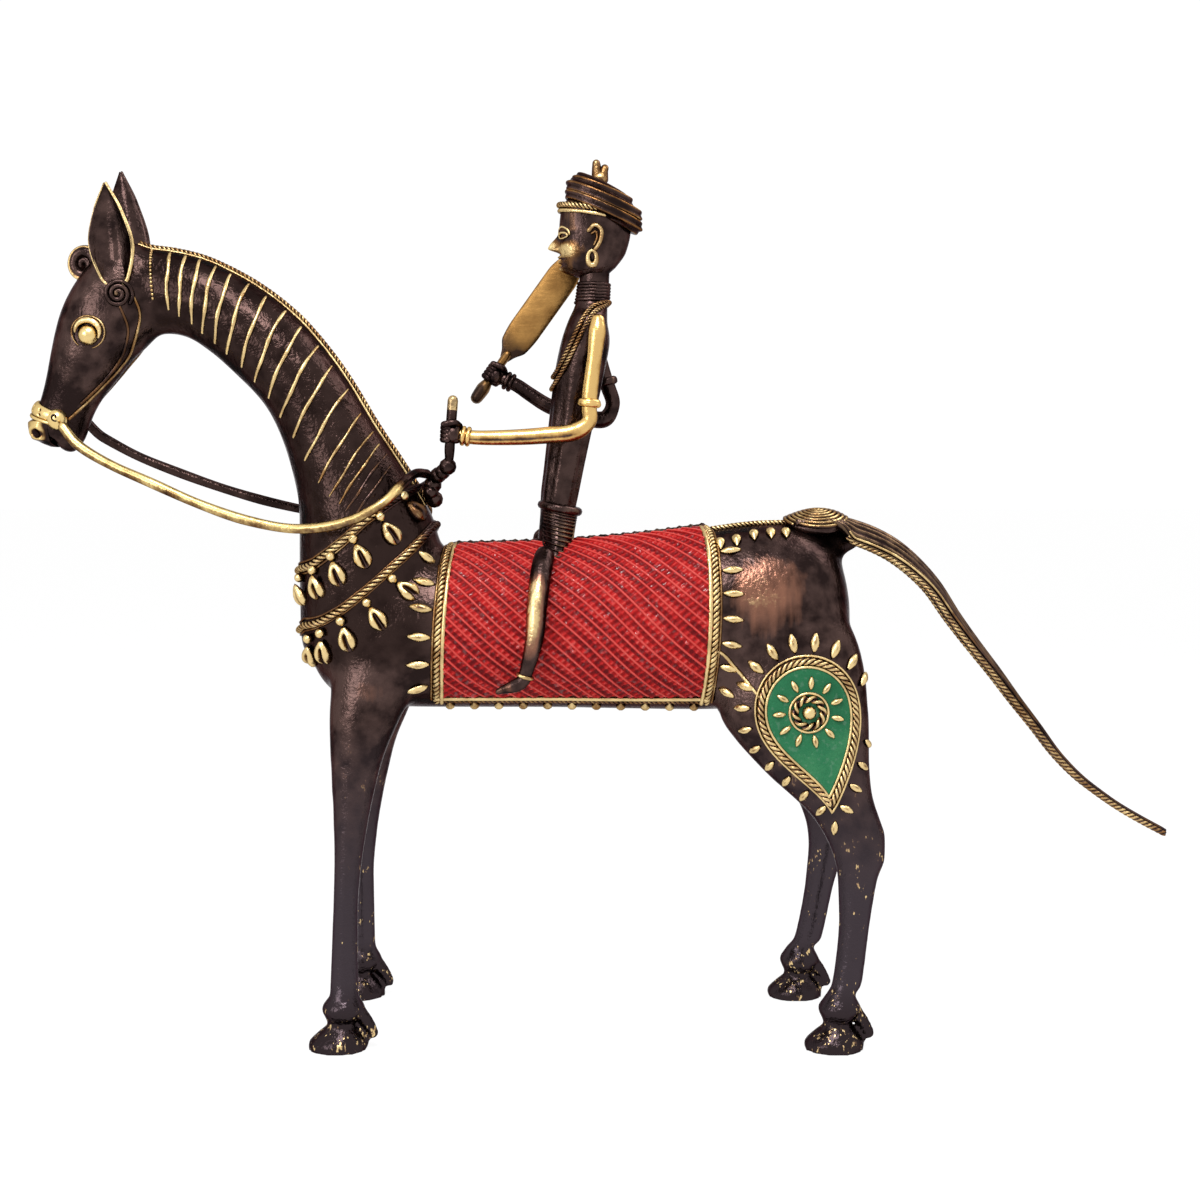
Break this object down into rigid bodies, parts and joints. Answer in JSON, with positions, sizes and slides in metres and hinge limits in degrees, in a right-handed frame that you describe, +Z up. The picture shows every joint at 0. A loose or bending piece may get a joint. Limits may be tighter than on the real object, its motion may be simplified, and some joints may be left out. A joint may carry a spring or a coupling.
{
  "type": "horse and rider figurine",
  "caption": "Cast brass folk figurine of a standing horse in rope-wire trappings, with a slender rider who holds the rein and a sword.",
  "frame": {"origin": "on the floor under the middle of the figure's length, in its plane of symmetry", "axes": "+X from the horse's head to its tail, +Y to the horse's right side, +Z up"},
  "size_m": [0.3428, 0.0698, 0.2605],
  "materials": {
    "dark_patina": "chemically darkened brass, polished with red-brown and bare patches",
    "bright_brass": "buffed bright brass",
    "satin_brass": "dull bronze-coloured brass",
    "red_enamel": "gloss red enamel paint",
    "green_enamel": "gloss green enamel paint",
    "clay": "burnt clay casting core"
  },
  "bodies": {
    "root": {"clay_core": "clay", "crest_rope": "bright_brass", "forelock": "dark_patina", "garland": "bright_brass", "horse_head": "dark_patina", "horse_neck": "dark_patina", "horse_trunk": "dark_patina", "left_armlet": "bright_brass", "left_cuff": "bright_brass", "left_ear": "dark_patina", "left_ear_coil": "dark_patina", "left_earring": "bright_brass", "left_eye": "bright_brass", "left_fore_leg": "dark_patina", "left_hand": "dark_patina", "left_haunch_plaque": "green_enamel", "left_haunch_rope": "bright_brass", "left_haunch_sun": "bright_brass", "left_hem_rope": "bright_brass", "left_hind_leg": "dark_patina", "left_rein": "bright_brass", "left_saddle_panel": "red_enamel", "left_tail_rope": "bright_brass", "lower_collar": "bright_brass", "neck_winding": "dark_patina", "noseband": "bright_brass", "rein_lead": "dark_patina", "rider_head": "bright_brass", "rider_left_arm": "bright_brass", "rider_left_leg": "dark_patina", "rider_right_arm": "dark_patina", "rider_right_leg": "dark_patina", "rider_torso": "dark_patina", "right_armlet": "bright_brass", "right_cuff": "bright_brass", "right_ear": "dark_patina", "right_ear_coil": "dark_patina", "right_earring": "bright_brass", "right_eye": "bright_brass", "right_fore_leg": "dark_patina", "right_hand": "dark_patina", "right_haunch_plaque": "green_enamel", "right_haunch_rope": "bright_brass", "right_haunch_sun": "bright_brass", "right_hem_rope": "bright_brass", "right_hind_leg": "dark_patina", "right_rein": "dark_patina", "right_saddle_panel": "red_enamel", "right_tail_rope": "bright_brass", "saddle_front_rope": "bright_brass", "saddle_rear_rope": "bright_brass", "spine_ridge": "dark_patina", "sword": "satin_brass", "tail": "dark_patina", "tail_coil": "bright_brass", "turban": "dark_patina", "turban_knot": "dark_patina", "upper_collar": "bright_brass", "waist_winding": "dark_patina"}
  },
  "joints": []
}
